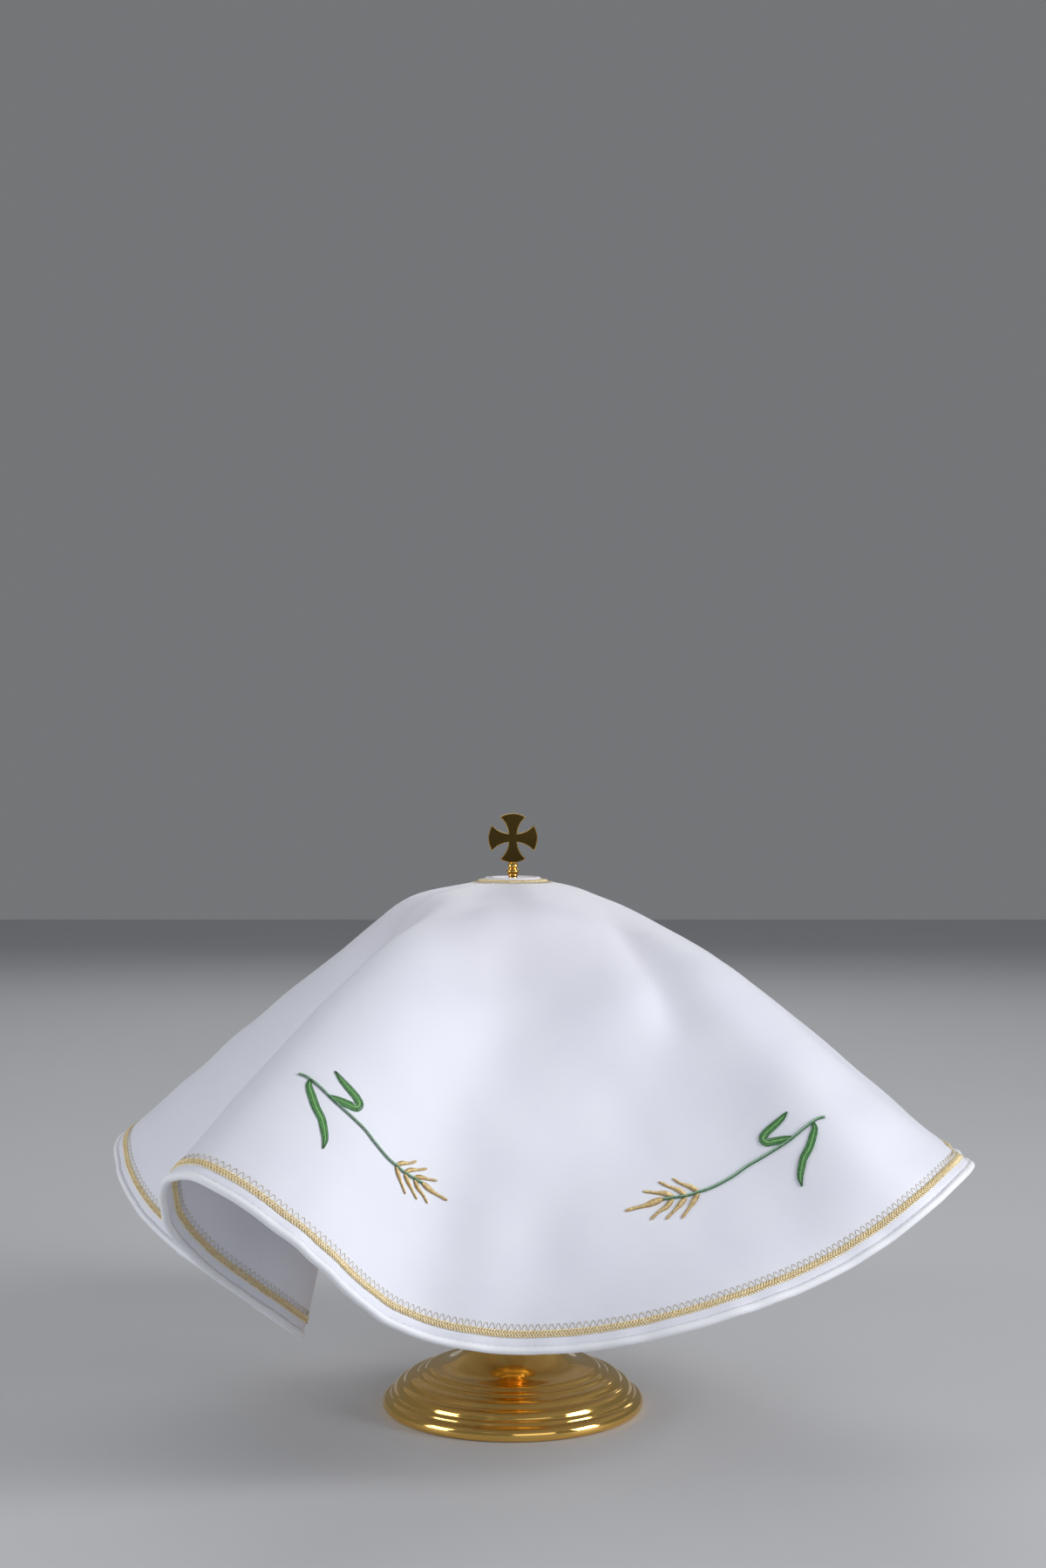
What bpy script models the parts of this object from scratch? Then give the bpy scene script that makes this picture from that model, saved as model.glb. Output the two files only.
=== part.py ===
"""A white ciborium veil, a round cloth with a hemmed hole, draped over its gilt ciborium.

Metres, +Z up. The origin is the centre of the foot's flat base, and the front of the veil faces -Y.
"""
import math
from collections import namedtuple

import bmesh
import bpy
import numpy as np

MM = 0.001

# The cloth as it was cut and hemmed
CLOTH_RADIUS = 205 * MM
HOLE_RADIUS = 9.5 * MM
CLOTH_THICKNESS = 1.2 * MM
HEM_THICKNESS = 2.0 * MM
OUTER_HEM_WIDTH = 5.5 * MM
HOLE_HEM_WIDTH = 3.0 * MM

# How it lies on the lid: flat round the hole, then over the lid's shoulder
CLOTH_TOP = 201.5 * MM
CROWN_RADIUS = 15.5 * MM
CROWN_DROP = 0.8 * MM
CROWN_SLOPE = math.radians(9)
SHOULDER_REACH = 50 * MM
SHOULDER_RADIUS = 47 * MM
SHOULDER_HEIGHT = 188.7 * MM
SHOULDER_BEND = 0.45
FRONT_MIDDLE_ANGLE = math.radians(-75)

Fold = namedtuple("Fold", "name x y lift belly")

# The folds in order round the hem, anticlockwise seen from above, in millimetres. x and y say
# where the hem hangs in plan, lift how far the fold raises the cloth off the lid's shoulder, and
# belly how far the cloth below the shoulder swells out, or draws in where it is negative.
FOLDS = (
    Fold("front middle", 10, -114, -1, -1),
    Fold("front right", 70, -118, -1, 0),
    Fold("right front slope", 112, -102, -1, 0),
    Fold("right ridge front", 155, -78, -2, 1),
    Fold("right ridge tip", 170, -24, 0, 1),
    Fold("right ridge back", 158, 36, 0, 2),
    Fold("right back valley", 104, 66, -1, -1),
    Fold("back right ridge", 92, 142, 1, 3),
    Fold("back valley", 26, 118, -1, -1),
    Fold("back left ridge", -28, 170, 1, 3),
    Fold("back left valley", -62, 103, -1, -2),
    Fold("left back slope", -100, 104, 1, 0),
    Fold("left back ridge", -138, 92, -1, 0),
    Fold("left back nose", -162, 50, -2, 1),
    Fold("left back turn", -148, 15, 0, 1),
    Fold("left pleat", -109, -17, 2, -2),
    Fold("left valley", -76, -60, -2, -3),
    Fold("left valley rise", -88, -88, 3, -4),
    Fold("left front turn", -114, -114, 5, 0),
    Fold("left front ridge", -112, -136, 4, 4),
    Fold("front left ridge", -88, -153, 2, 4),
    Fold("front left slope", -63, -150, 1, 1),
    Fold("front left hollow", -43, -131, -1, 0),
)

# The mesh of the cloth: steps round it, and rings from the hole to the hem
STEPS_BETWEEN_FOLDS = 24
HANGING_ROUNDS = 14
CLOTH_STEPS = 132
SHOULDER_RINGS = 3
SKIRT_RINGS = 8

# The ciborium's turned pieces, and the gap that touching pieces keep
TURNED_STEPS = 48
GAP = 0.3 * MM

Section = namedtuple("Section", "name radius height")

FOOT_SECTIONS = (
    Section("base edge", 49.0, 0.0),
    Section("bead low", 50.0, 0.9),
    Section("bead", 50.2, 1.9),
    Section("bead high", 49.6, 3.0),
    Section("bead inside", 48.4, 3.6),
    Section("first step", 48.0, 5.0),
    Section("first tread", 46.0, 5.6),
    Section("second step", 45.6, 7.2),
    Section("second tread", 43.8, 7.8),
    Section("third step", 43.2, 9.6),
    Section("swelling low", 41.6, 10.8),
    Section("swelling", 37.6, 12.6),
    Section("swelling high", 32.4, 13.6),
    Section("ridge low", 31.4, 14.6),
    Section("ridge top", 29.0, 15.6),
    Section("cone foot", 26.4, 15.8),
    Section("cone low", 21.0, 18.8),
    Section("cone", 16.6, 23.4),
    Section("stem low", 13.0, 30.0),
    Section("stem", 9.8, 44.0),
    Section("stem neck", 6.6, 56.0),
    Section("stem collar", 8.0, 58.6),
    Section("stem top", 8.0, 60.0),
)
KNOP_RADIUS = 14.5 * MM
KNOP_NECK_RADIUS = 6.0 * MM
KNOP_BOTTOM = 60 * MM + GAP
KNOP_TOP = 82 * MM
KNOP_RINGS = 9
CUP_SECTIONS = (
    Section("cup foot", 7.5, 82.3),
    Section("cup calyx", 12.0, 84.8),
    Section("bowl low", 24.0, 91.5),
    Section("bowl", 34.0, 103.0),
    Section("bowl side", 40.0, 118.0),
    Section("bowl high", 42.6, 138.0),
    Section("bowl rim", 43.2, 162.0),
)
CUP_WALL = 1.2 * MM
CUP_FLOOR_DROP = 2.5 * MM
CUP_FLOOR_SHARE = 0.6
LID_SECTIONS = (
    Section("lid brim low", 43.6, 162.3),
    Section("lid brim", 44.4, 163.6),
    Section("lid brim high", 43.6, 165.2),
    Section("lid side low", 42.4, 167.0),
    Section("lid side", 43.0, 178.0),
    Section("lid shoulder", 42.0, 183.2),
    Section("lid dome low", 37.4, 188.4),
    Section("lid dome", 30.0, 193.0),
    Section("lid dome high", 22.0, 197.0),
    Section("lid crown edge", 15.0, 199.8),
    Section("lid crown", 6.0, 200.1),
)
NECK_SECTIONS = (
    Section("neck foot", 4.0, 200.4),
    Section("neck flare", 3.6, 201.7),
    Section("neck low", 1.5, 203.4),
    Section("big bead low", 1.9, 204.4),
    Section("big bead", 2.4, 205.4),
    Section("big bead high", 1.7, 206.4),
    Section("small bead", 2.0, 207.4),
    Section("neck top", 1.2, 208.6),
)
CROSS_RADIUS = 9.5 * MM
CROSS_THICKNESS = 2.2 * MM
CROSS_HEART = 1.7 * MM
CROSS_HALF_ANGLE = math.radians(32)
CROSS_SIDE_DRAW = 0.9 * MM
CROSS_SIDE_STEPS = 3
CROSS_RIM_STEPS = 6

for old_object in list(bpy.data.objects):
    bpy.data.objects.remove(old_object, do_unlink=True)


def material(name, colour, roughness, metallic):
    """A plain Principled material in the piece's own colour."""
    made = bpy.data.materials.new(name)
    made.use_nodes = True
    shader = made.node_tree.nodes["Principled BSDF"]
    shader.inputs["Base Color"].default_value = (*colour, 1)
    shader.inputs["Roughness"].default_value = roughness
    shader.inputs["Metallic"].default_value = metallic
    return made


def new_object(name, mesh, its_material):
    """Put a mesh in the scene under its node's name."""
    piece = bpy.data.objects.new(name, mesh)
    bpy.context.collection.objects.link(piece)
    mesh.materials.append(its_material)
    return piece


def closed_curve(rows, steps):
    """A smooth closed curve through the rows, spaced by their distance in plan.

    It is a periodic cubic spline, worked out for every column of the rows at once.
    """
    count = len(rows)
    after = np.roll(rows, -1, axis=0)
    span = np.linalg.norm((after - rows)[:, :2], axis=1)
    before = np.roll(span, 1)
    slope = (after - rows) / span[:, None]
    matrix = np.zeros((count, count))
    for row in range(count):
        matrix[row, row - 1] += before[row]
        matrix[row, row] += 2 * (before[row] + span[row])
        matrix[row, (row + 1) % count] += span[row]
    curvature = np.linalg.solve(matrix, 6 * (slope - np.roll(slope, 1, axis=0)))
    points = []
    for row in range(count):
        part = np.linspace(0, 1, steps, endpoint=False)[:, None]
        following = (row + 1) % count
        bend = ((1 - part) ** 3 - (1 - part)) * curvature[row] + (part ** 3 - part) * curvature[following]
        points.append((1 - part) * rows[row] + part * rows[following] + span[row] ** 2 / 6 * bend)
    return np.concatenate(points)


def hang_hem():
    """The hem in space, with its fold columns, read evenly round the cloth.

    The cloth doesn't stretch. So each straight thread from the shoulder to the hem keeps its
    length, less the slack that a belly takes, which gives the hem's height, and equal lengths
    of hem belong to equal angles. The two are found together, in a few rounds.
    """
    rows = np.array([(fold.x, fold.y, fold.lift, fold.belly) for fold in FOLDS]) * MM
    curve = closed_curve(rows, STEPS_BETWEEN_FOLDS)
    plan, lift, belly = curve[:, :2], curve[:, 2], curve[:, 3]
    skirt = CLOTH_RADIUS - SHOULDER_REACH
    slack = 8 / 3 * belly ** 2 / skirt
    thread = skirt - slack
    angle = np.unwrap(np.arctan2(plan[:, 1], plan[:, 0]))
    height = np.full(len(plan), SHOULDER_HEIGHT - skirt / 2)
    for _ in range(HANGING_ROUNDS):
        shoulder = SHOULDER_RADIUS * np.column_stack([np.cos(angle), np.sin(angle)])
        reach = ((plan - shoulder) ** 2).sum(axis=1)
        hung = SHOULDER_HEIGHT + lift - np.sqrt(np.maximum(thread ** 2 - reach, 0))
        height = (height + hung) / 2
        hem = np.column_stack([plan, height])
        lengths = np.linalg.norm(np.roll(hem, -1, axis=0) - hem, axis=1)
        along = np.concatenate([[0], np.cumsum(lengths)])
        angle = FRONT_MIDDLE_ANGLE + 2 * math.pi * along[:-1] / along[-1]
    even = FRONT_MIDDLE_ANGLE + 2 * math.pi * np.arange(CLOTH_STEPS) / CLOTH_STEPS
    known = np.append(angle, angle[0] + 2 * math.pi)
    columns = [np.interp(even, known, np.append(value, value[0])) for value in (*hem.T, lift, belly)]
    return even, np.column_stack(columns[:3]), columns[3], columns[4]


def curve_between(part, start, start_slope, end, end_slope):
    """A point of the smooth curve that leaves start and reaches end along the given slopes."""
    cube, square = part ** 3, part ** 2
    return ((2 * cube - 3 * square + 1) * start + (cube - 2 * square + part) * start_slope
            + (3 * square - 2 * cube) * end + (cube - square) * end_slope)


def unit(vectors):
    return vectors / np.linalg.norm(vectors, axis=1)[:, None]


def veil_rings():
    """The rings of the cloth's middle surface, from the hole to the hem."""
    angle, hem, lift, belly = hang_hem()
    up = np.array([0.0, 0.0, 1.0])
    outward = np.column_stack([np.cos(angle), np.sin(angle), np.zeros(len(angle))])
    crown = CROWN_RADIUS * outward + (CLOTH_TOP - CROWN_DROP) * up
    shoulder = SHOULDER_RADIUS * outward + (SHOULDER_HEIGHT + lift)[:, None] * up
    falling = unit(hem - shoulder)
    over = unit(unit(shoulder - crown) * (1 - SHOULDER_BEND) + falling * SHOULDER_BEND)
    leaving = outward * math.cos(CROWN_SLOPE) - up * math.sin(CROWN_SLOPE)
    swell = np.cross(unit(np.cross(falling, up)), falling)

    rings = []
    for reach in (HOLE_RADIUS, HOLE_RADIUS + HOLE_HEM_WIDTH):
        part = (reach - HOLE_RADIUS) / (CROWN_RADIUS - HOLE_RADIUS)
        rings.append(reach * outward + (CLOTH_TOP - CROWN_DROP * part ** 2) * up)
    cap = SHOULDER_REACH - CROWN_RADIUS
    for part in np.arange(SHOULDER_RINGS) / SHOULDER_RINGS:
        rings.append(curve_between(part, crown, leaving * cap, shoulder, over * cap))
    skirt = CLOTH_RADIUS - SHOULDER_REACH
    hem_line = 1 - OUTER_HEM_WIDTH / skirt
    for part in (*np.linspace(0, hem_line, SKIRT_RINGS), (1 + hem_line) / 2, 1):
        ring = curve_between(part, shoulder, over * skirt, hem, falling * skirt)
        rings.append(ring + 4 * part * (1 - part) * belly[:, None] * swell)
    return rings


def make_veil(cloth):
    """The draped cloth: one sheet, a little thicker where its two edges are turned."""
    rings = veil_rings()
    points = [tuple(point) for ring in rings for point in ring]
    faces = []
    for ring in range(len(rings) - 1):
        for step in range(CLOTH_STEPS):
            here = ring * CLOTH_STEPS + step
            beside = ring * CLOTH_STEPS + (step + 1) % CLOTH_STEPS
            faces.append((here, here + CLOTH_STEPS, beside + CLOTH_STEPS, beside))
    mesh = bpy.data.meshes.new("veil")
    mesh.from_pydata(points, [], faces)
    mesh.shade_smooth()
    veil = new_object("veil", mesh, cloth)
    hems = veil.vertex_groups.new(name="turned hems")
    last = len(rings) - 1
    for ring in (0, 1, last - 2, last - 1, last):
        hems.add(range(ring * CLOTH_STEPS, (ring + 1) * CLOTH_STEPS), 1.0, "REPLACE")
    sheet = veil.modifiers.new("cloth thickness", "SOLIDIFY")
    sheet.thickness = HEM_THICKNESS
    sheet.offset = 0
    sheet.vertex_group = hems.name
    sheet.thickness_vertex_group = CLOTH_THICKNESS / HEM_THICKNESS
    return veil


def turned(name, profile, metal):
    """A body turned about Z. The profile is radius and height, top to bottom down its outside."""
    mesh = bpy.data.meshes.new(name)
    edges = [(point, point + 1) for point in range(len(profile) - 1)]
    mesh.from_pydata([(radius, 0, height) for radius, height in profile], edges, [])
    piece = new_object(name, mesh, metal)
    screw = piece.modifiers.new("turning", "SCREW")
    screw.steps = TURNED_STEPS
    screw.render_steps = TURNED_STEPS
    screw.use_merge_vertices = True
    screw.merge_threshold = 0.00001
    screw.use_smooth_shade = True
    return piece


def outside(sections):
    """A turned piece's profile from its sections, which go upwards, closed on the axis."""
    downwards = [(section.radius * MM, section.height * MM) for section in reversed(sections)]
    return [(0, downwards[0][1]), *downwards, (0, downwards[-1][1])]


def make_knop(metal):
    """The round knob that the hand holds, between two narrow necks."""
    middle = (KNOP_BOTTOM + KNOP_TOP) / 2
    half_height = (KNOP_TOP - KNOP_BOTTOM) / 2
    profile = [(0, KNOP_TOP)]
    for rise in np.linspace(1, -1, KNOP_RINGS):
        swell = (KNOP_RADIUS - KNOP_NECK_RADIUS) * math.cos(rise * math.pi / 2)
        profile.append((KNOP_NECK_RADIUS + swell, middle + half_height * rise))
    profile.append((0, KNOP_BOTTOM))
    return turned("knop", profile, metal)


def make_cup(metal):
    """The bowl, an open shell of even wall with a solid foot under it."""
    shell = [(section.radius * MM, section.height * MM) for section in CUP_SECTIONS]
    rim_radius = shell[-1][0]
    inner = []
    for radius, height in shell[2:]:
        inner.append((radius - CUP_WALL, height + CUP_WALL * (1 - radius / rim_radius)))
    inner_floor = inner[0][1] - CUP_FLOOR_DROP
    profile = [(0, inner_floor), (inner[0][0] * CUP_FLOOR_SHARE, inner_floor), *inner]
    profile += [*reversed(shell), (0, shell[0][1])]
    return turned("cup", profile, metal)


def cross_arm(turn):
    """The outline of one arm: a drawn-in side, the round end and the other side."""
    heart = CROSS_HEART
    tip = (CROSS_RADIUS * math.cos(CROSS_HALF_ANGLE), CROSS_RADIUS * math.sin(CROSS_HALF_ANGLE))
    side = []
    for step in range(CROSS_SIDE_STEPS):
        part = step / CROSS_SIDE_STEPS
        draw = 4 * part * (1 - part) * CROSS_SIDE_DRAW
        side.append((heart + (tip[0] - heart) * part, heart + (tip[1] - heart) * part - draw))
    rim = []
    for step in range(CROSS_RIM_STEPS + 1):
        angle = CROSS_HALF_ANGLE * (1 - 2 * step / CROSS_RIM_STEPS)
        rim.append((CROSS_RADIUS * math.cos(angle), CROSS_RADIUS * math.sin(angle)))
    outline = side + rim + [(along, -across) for along, across in reversed(side[1:])]
    cosine, sine = math.cos(turn), math.sin(turn)
    return [(along * cosine - across * sine, along * sine + across * cosine) for along, across in outline]


def make_cross(metal):
    """The flat cross with four flared arms, standing on the neck and facing the front."""
    centre_height = (NECK_SECTIONS[-1].height * MM) + GAP + CROSS_RADIUS
    shape = bmesh.new()
    outline = []
    for arm in range(4):
        outline += list(reversed(cross_arm(-arm * math.pi / 2)))
    front_face = -CROSS_THICKNESS / 2
    corners = [shape.verts.new((across, front_face, centre_height + along)) for across, along in outline]
    front = shape.faces.new(corners)
    grown = bmesh.ops.extrude_face_region(shape, geom=[front])
    moved = [item for item in grown["geom"] if isinstance(item, bmesh.types.BMVert)]
    bmesh.ops.translate(shape, verts=moved, vec=(0, CROSS_THICKNESS, 0))
    bmesh.ops.recalc_face_normals(shape, faces=shape.faces)
    mesh = bpy.data.meshes.new("cross")
    shape.to_mesh(mesh)
    shape.free()
    return new_object("cross", mesh, metal)


white_cloth = material("white cloth", (0.80, 0.81, 0.84), 0.75, 0.0)
gilt = material("gilt brass", (0.83, 0.58, 0.22), 0.18, 1.0)

make_veil(white_cloth)
turned("foot", outside(FOOT_SECTIONS), gilt)
make_knop(gilt)
make_cup(gilt)
turned("lid", outside(LID_SECTIONS), gilt)
turned("neck", outside(NECK_SECTIONS), gilt)
make_cross(gilt)
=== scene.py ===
"""The looks of a white ciborium veil, hung over its gilt ciborium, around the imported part.

Metres, +Z up. The origin is the centre of the foot's flat base, and the front faces -Y.
"""

import math
from collections import namedtuple

import bpy
import numpy as np
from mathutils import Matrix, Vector


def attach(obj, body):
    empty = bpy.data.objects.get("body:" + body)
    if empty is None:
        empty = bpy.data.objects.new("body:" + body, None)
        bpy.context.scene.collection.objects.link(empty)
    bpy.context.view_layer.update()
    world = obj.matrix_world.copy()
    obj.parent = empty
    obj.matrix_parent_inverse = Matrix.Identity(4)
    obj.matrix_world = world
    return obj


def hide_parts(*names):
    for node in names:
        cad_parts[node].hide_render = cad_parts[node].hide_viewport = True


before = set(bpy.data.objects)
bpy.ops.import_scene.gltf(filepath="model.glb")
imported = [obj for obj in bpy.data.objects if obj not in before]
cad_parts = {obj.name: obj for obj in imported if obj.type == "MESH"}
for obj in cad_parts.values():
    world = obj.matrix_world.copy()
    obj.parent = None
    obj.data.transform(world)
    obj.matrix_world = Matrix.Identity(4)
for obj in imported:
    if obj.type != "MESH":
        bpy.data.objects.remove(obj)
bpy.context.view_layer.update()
MM = 0.001


# The foot and stem of the ciborium: one turning of cast brass, stepped and beaded, with a trumpet
# stem rising from it. It is turned on a lathe, polished to a mirror and gilt. The veil hides all
# of it but the foot, which stands on the table.

Section = namedtuple("Section", "radius height")
FOOT = (
    Section(44.0, 0.8), Section(46.6, 0.6), Section(47.2, 0.0), Section(48.8, 0.0),
    Section(49.6, 0.4), Section(50.2, 1.2), Section(50.3, 2.3), Section(50.1, 3.3),
    Section(49.5, 4.2), Section(48.7, 4.8), Section(48.1, 5.0), Section(47.9, 5.1),
    Section(47.5, 5.2), Section(47.3, 5.3), Section(47.1, 5.8), Section(46.8, 6.3),
    Section(46.3, 6.6), Section(45.9, 6.7), Section(45.7, 6.9), Section(45.4, 7.8),
    Section(44.8, 8.8), Section(43.9, 9.5), Section(42.9, 9.8), Section(42.3, 9.9),
    Section(42.0, 10.1), Section(41.6, 10.8), Section(41.0, 11.6), Section(40.0, 12.2),
    Section(38.4, 12.6), Section(37.2, 12.7), Section(36.8, 12.8), Section(36.5, 13.2),
    Section(36.0, 13.7), Section(35.1, 14.0), Section(34.2, 14.1), Section(33.8, 14.2),
    Section(33.5, 14.6), Section(33.0, 15.2), Section(32.1, 15.6), Section(30.6, 15.8),
    Section(28.4, 15.9), Section(25.6, 16.5), Section(22.4, 18.2), Section(19.2, 20.8),
    Section(16.4, 24.4), Section(13.6, 29.8), Section(11.4, 37.0), Section(9.6, 45.0),
    Section(7.8, 52.5), Section(6.8, 56.0), Section(6.8, 56.8), Section(7.4, 57.4),
    Section(8.0, 58.2), Section(8.1, 59.2), Section(7.8, 59.8), Section(7.0, 60.0),
)
ROUND_STEPS = 96


def turn(name, sections):
    """Raise a round piece as on a lathe: a ring, drawn out and resized from section to section."""
    bpy.ops.object.select_all(action="DESELECT")
    bpy.ops.mesh.primitive_circle_add(vertices=ROUND_STEPS, radius=sections[0].radius * MM,
                                      location=(0, 0, sections[0].height * MM))
    piece = bpy.context.object
    piece.name = name
    piece.data.name = name
    bpy.ops.object.mode_set(mode="EDIT")
    bpy.ops.mesh.select_all(action="SELECT")
    bpy.ops.mesh.extrude_edges_move()
    bpy.ops.mesh.merge(type="CENTER")
    bpy.ops.mesh.select_all(action="DESELECT")
    bpy.ops.object.mode_set(mode="OBJECT")
    for vertex in piece.data.vertices[:ROUND_STEPS]:
        vertex.select = True
    bpy.ops.object.mode_set(mode="EDIT")
    for before, section in zip(sections, sections[1:]):
        rise = (section.height - before.height) * MM
        bpy.ops.mesh.extrude_edges_move(TRANSFORM_OT_translate={"value": (0, 0, rise)})
        grow = section.radius / before.radius
        bpy.ops.transform.resize(value=(grow, grow, 1), center_override=(0, 0, section.height * MM))
    bpy.ops.mesh.extrude_edges_move()
    bpy.ops.mesh.merge(type="CENTER")
    bpy.ops.mesh.select_all(action="SELECT")
    bpy.ops.mesh.normals_make_consistent(inside=False)
    bpy.ops.object.mode_set(mode="OBJECT")
    bpy.ops.object.transform_apply(location=True, rotation=True, scale=True)
    return piece


def pick(piece):
    """Make a piece the one that the next operator works on."""
    bpy.ops.object.select_all(action="DESELECT")
    bpy.context.view_layer.objects.active = piece
    piece.select_set(True)


def round_off(piece, levels):
    """Smooth a piece with one subdivision modifier, and apply it."""
    pick(piece)
    smoother = piece.modifiers.new("smooth turning", "SUBSURF")
    smoother.levels = levels
    smoother.render_levels = levels
    bpy.ops.object.modifier_apply(modifier=smoother.name)
    bpy.ops.object.shade_smooth()


class Wire:
    """An output of a material's nodes. Arithmetic on it adds Math nodes."""

    def __init__(self, tree, socket=None):
        self.tree = tree
        self.socket = socket

    def feed(self, target, value):
        if isinstance(value, Wire):
            self.tree.links.new(value.socket, target)
        else:
            target.default_value = value

    def node(self, kind, settings=(), sockets=(), output=0):
        """Add a node: its settings and ramp stops first, then its sockets. Give one output."""
        made = self.tree.nodes.new("ShaderNode" + kind)
        for name, value in dict(settings).items():
            if name == "stops":
                while len(made.color_ramp.elements) < len(value):
                    made.color_ramp.elements.new(0.5)
                for element, (position, colour) in zip(made.color_ramp.elements, value):
                    element.position = position
                    element.color = colour
            else:
                setattr(made, name, value)
        for name, value in dict(sockets).items():
            self.feed(made.inputs[name], value)
        return Wire(self.tree, made.outputs[output])

    def maths(self, operation, first, second):
        return self.node("Math", {"operation": operation}, {0: first, 1: second})

    def __add__(self, other):
        return self.maths("ADD", self, other)

    def __sub__(self, other):
        return self.maths("SUBTRACT", self, other)

    def __rsub__(self, other):
        return self.maths("SUBTRACT", other, self)

    def __mul__(self, other):
        return self.maths("MULTIPLY", self, other)

    __radd__ = __add__
    __rmul__ = __mul__


def new_finish(name, **constants):
    """A material with its even values set: the material, its shader's sockets and a first Wire."""
    made = bpy.data.materials.new(name)
    made.use_nodes = True
    shader = made.node_tree.nodes["Principled BSDF"]
    for socket, value in constants.items():
        shader.inputs[socket.replace("_", " ")].default_value = value
    return made, shader.inputs, Wire(made.node_tree)


def gilt_finish(name, smudge, shade=1.0, turned=True):
    """Mirror-polished gilding: warm gold, soft smudges and, where turned, faint lathe rings."""
    gilt, shader, nodes = new_finish(name, Metallic=1.0)
    place = nodes.node("TexCoord", output=3)
    cloudy = nodes.node("TexNoise", sockets={"Vector": place, "Scale": 38, "Detail": 3})
    fine = nodes.node("TexNoise", sockets={"Vector": place, "Scale": 420, "Detail": 2})
    # A shade below 1 darkens the gold's colour as a painted dark reflection. The cross's recessed
    # faces use it.
    colour = nodes.node("Mix", {"data_type": "RGBA"},
                        {"Factor": cloudy, "A": (0.88 * shade, 0.53 * shade, 0.13 * shade, 1),
                         "B": (0.98 * shade, 0.64 * shade, 0.19 * shade, 1)}, 2)
    nodes.feed(shader["Base Color"], colour)
    nodes.feed(shader["Roughness"], cloudy * smudge + fine * 0.03 + 0.03)
    height = nodes.node("SeparateXYZ", sockets={"Vector": place}, output=2)
    across = nodes.node("SeparateXYZ", sockets={"Vector": place}, output=0)
    along = nodes.node("SeparateXYZ", sockets={"Vector": place}, output=1)
    reach = nodes.node("Math", {"operation": "SQRT"}, {0: across * across + along * along})
    lathe = nodes.node("CombineXYZ", sockets={"X": reach * 2600, "Y": height * 2600, "Z": 0.0})
    rings = nodes.node("TexNoise", sockets={"Vector": lathe, "Scale": 1.0, "Detail": 1})
    bump = nodes.node("Bump", sockets={"Height": rings if turned else fine, "Strength": 0.05,
                                       "Distance": 0.0001 if turned else 0.00005})
    nodes.feed(shader["Normal"], bump)
    return gilt


gilt = gilt_finish("polished gilding", 0.10)
foot = turn("foot_turning", FOOT)
round_off(foot, 1)
foot.data.materials.append(gilt)
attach(foot, "root")
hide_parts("foot")


# The knop: the round knob between stem and bowl that the hand holds, turned brass, gilt.
# The stem's threaded end passes through it. The veil hides it.

KNOP = (
    Section(5.6, 60.3), Section(6.4, 60.4), Section(7.0, 61.2), Section(8.6, 62.6),
    Section(12.2, 65.6), Section(14.2, 69.4), Section(14.5, 70.8), Section(14.5, 71.6),
    Section(14.2, 72.9), Section(12.2, 76.7), Section(8.6, 79.8), Section(7.0, 81.0),
    Section(6.4, 81.8), Section(5.6, 82.0),
)
knop = turn("knop_turning", KNOP)
round_off(knop, 1)
knop.data.materials.append(gilt)
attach(knop, "root")
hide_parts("knop")


# The cup: an open bowl spun from brass sheet on a small turned foot, gilt inside and out. It
# screws to the stem through the knop. The veil hides it from all sides but from below.

CUP_OUTSIDE = (
    Section(6.4, 82.3), Section(7.5, 82.4), Section(8.0, 83.4), Section(9.6, 84.2),
    Section(12.4, 84.9), Section(18.6, 87.6), Section(24.6, 91.9), Section(30.2, 97.6),
    Section(34.4, 103.4), Section(38.0, 111.0), Section(40.2, 118.6), Section(41.8, 128.0),
    Section(42.7, 139.0), Section(43.1, 150.0), Section(43.2, 160.2), Section(43.2, 161.6),
    Section(43.0, 162.0),
)
CUP_INSIDE = (
    Section(42.2, 162.0), Section(42.0, 161.6), Section(42.0, 150.0), Section(41.5, 139.0),
    Section(40.6, 128.0), Section(39.0, 118.8), Section(36.8, 111.5), Section(33.0, 103.9),
    Section(28.8, 98.2), Section(23.0, 92.6), Section(17.0, 89.9), Section(10.0, 89.4),
)
cup = turn("cup_turning", CUP_OUTSIDE + CUP_INSIDE)
round_off(cup, 1)
cup.data.materials.append(gilt)
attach(cup, "root")
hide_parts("cup")


# The lid: a domed cover with a rolled brim that sits on the bowl's rim, spun brass, gilt.
# The cloth lies on its dome and bends over its shoulder.

LID = (
    Section(42.0, 162.3), Section(43.4, 162.4), Section(44.2, 162.9), Section(44.4, 163.6),
    Section(44.2, 164.4), Section(43.5, 165.1), Section(42.7, 166.2), Section(42.4, 167.4),
    Section(42.8, 172.0), Section(43.0, 178.0), Section(42.7, 181.0), Section(41.6, 184.0),
    Section(39.2, 187.0), Section(35.6, 189.8), Section(30.0, 193.0), Section(22.0, 197.0),
    Section(15.0, 199.7), Section(10.0, 200.1), Section(5.0, 200.2),
)
lid = turn("lid_turning", LID)
round_off(lid, 1)
lid.data.materials.append(gilt)
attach(lid, "root")
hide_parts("lid")


# The neck: a small flared foot and two beads in one turning, screwed to the lid's crown. It comes
# up through the hole in the cloth and carries the cross.

NECK = (
    Section(3.4, 200.4), Section(4.0, 200.6), Section(3.9, 201.2), Section(3.0, 202.0),
    Section(1.8, 202.8), Section(1.4, 203.4), Section(1.9, 203.8), Section(2.0, 204.1),
    Section(1.7, 204.4), Section(2.1, 204.7), Section(2.5, 205.3), Section(2.5, 205.8),
    Section(2.1, 206.3), Section(1.5, 206.6), Section(1.7, 206.8), Section(2.1, 207.2),
    Section(2.1, 207.8), Section(1.8, 208.4), Section(1.2, 209.0), Section(0.9, 209.4),
)
neck = turn("neck_turning", NECK)
round_off(neck, 1)
neck.data.materials.append(gilt)
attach(neck, "root")
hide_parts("neck")


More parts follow.
